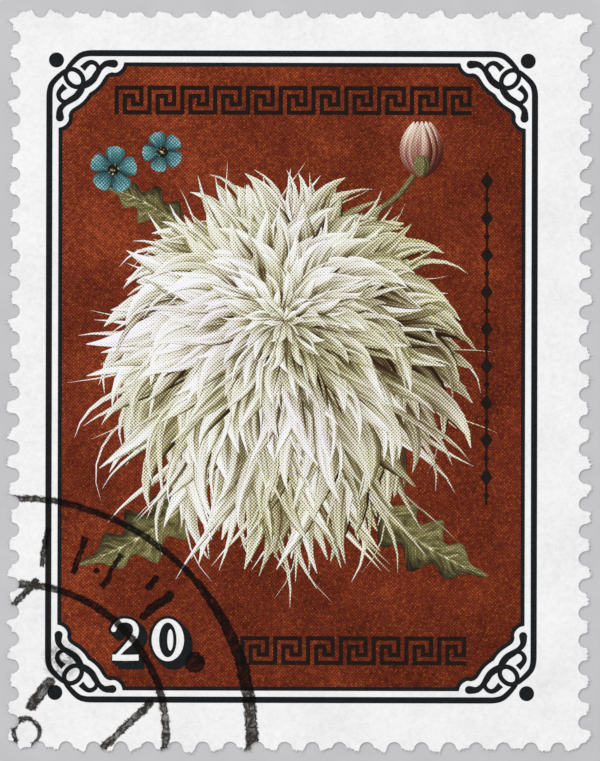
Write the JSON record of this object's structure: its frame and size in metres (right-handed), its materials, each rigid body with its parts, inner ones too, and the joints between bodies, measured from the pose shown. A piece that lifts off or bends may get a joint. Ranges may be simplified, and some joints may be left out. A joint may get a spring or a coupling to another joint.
{
  "type": "postage stamp",
  "caption": "Used perforated postage stamp: white paper with a scroll-cornered double frame, a pale flower on a red-brown ground, bands of key pattern, a plain value and part of a postmark.",
  "frame": {"origin": "middle of the paper's underside, which is the gummed side that lies on the surface", "axes": "+Y towards the stamp's top edge, +X to the right as it is read, +Z out of the printed face"},
  "size_m": [0.0352, 0.0452, 0.0001],
  "materials": {
    "paper": "matt white stamp paper, lightly aged",
    "black_ink": "matt black printing ink",
    "red_brown_ink": "matt red-brown printing ink, fine screen of dots",
    "paper_white": "unprinted white of the figures",
    "grey_ink": "warm grey printed tone",
    "cream_ink": "pale cream printed tone",
    "green_ink": "olive green printed tone",
    "blue_ink": "dull teal blue printed tone"
  },
  "bodies": {
    "root": {"paper": "paper", "corner_scroll_top_left": "black_ink", "corner_dot_top_left": "black_ink", "corner_scroll_top_right": "black_ink", "corner_dot_top_right": "black_ink", "corner_scroll_bottom_left": "black_ink", "corner_dot_bottom_left": "black_ink", "corner_scroll_bottom_right": "black_ink", "corner_dot_bottom_right": "black_ink", "frame_line_top": "black_ink", "frame_line_bottom": "black_ink", "frame_line_left": "black_ink", "frame_line_right": "black_ink", "frame_line_inner": "black_ink", "ground": "red_brown_ink", "band_top": "black_ink", "band_bottom": "black_ink", "band_side": "black_ink", "figure_two_shadow": "black_ink", "figure_nought_shadow": "black_ink", "figure_two": "paper_white", "figure_nought": "paper_white", "figure_nought_sliver": "paper_white", "bloom_back": "grey_ink", "bloom_middle": "cream_ink", "bloom_inner": "cream_ink", "bloom_heart": "grey_ink", "leaf_left": "green_ink", "leaf_right": "green_ink", "leaf_top": "green_ink", "bud_stem": "green_ink", "bud": "cream_ink", "blue_flower_left": "blue_ink", "blue_flower_left_eye": "black_ink", "blue_flower_right": "blue_ink", "blue_flower_right_eye": "black_ink"}
  },
  "joints": []
}
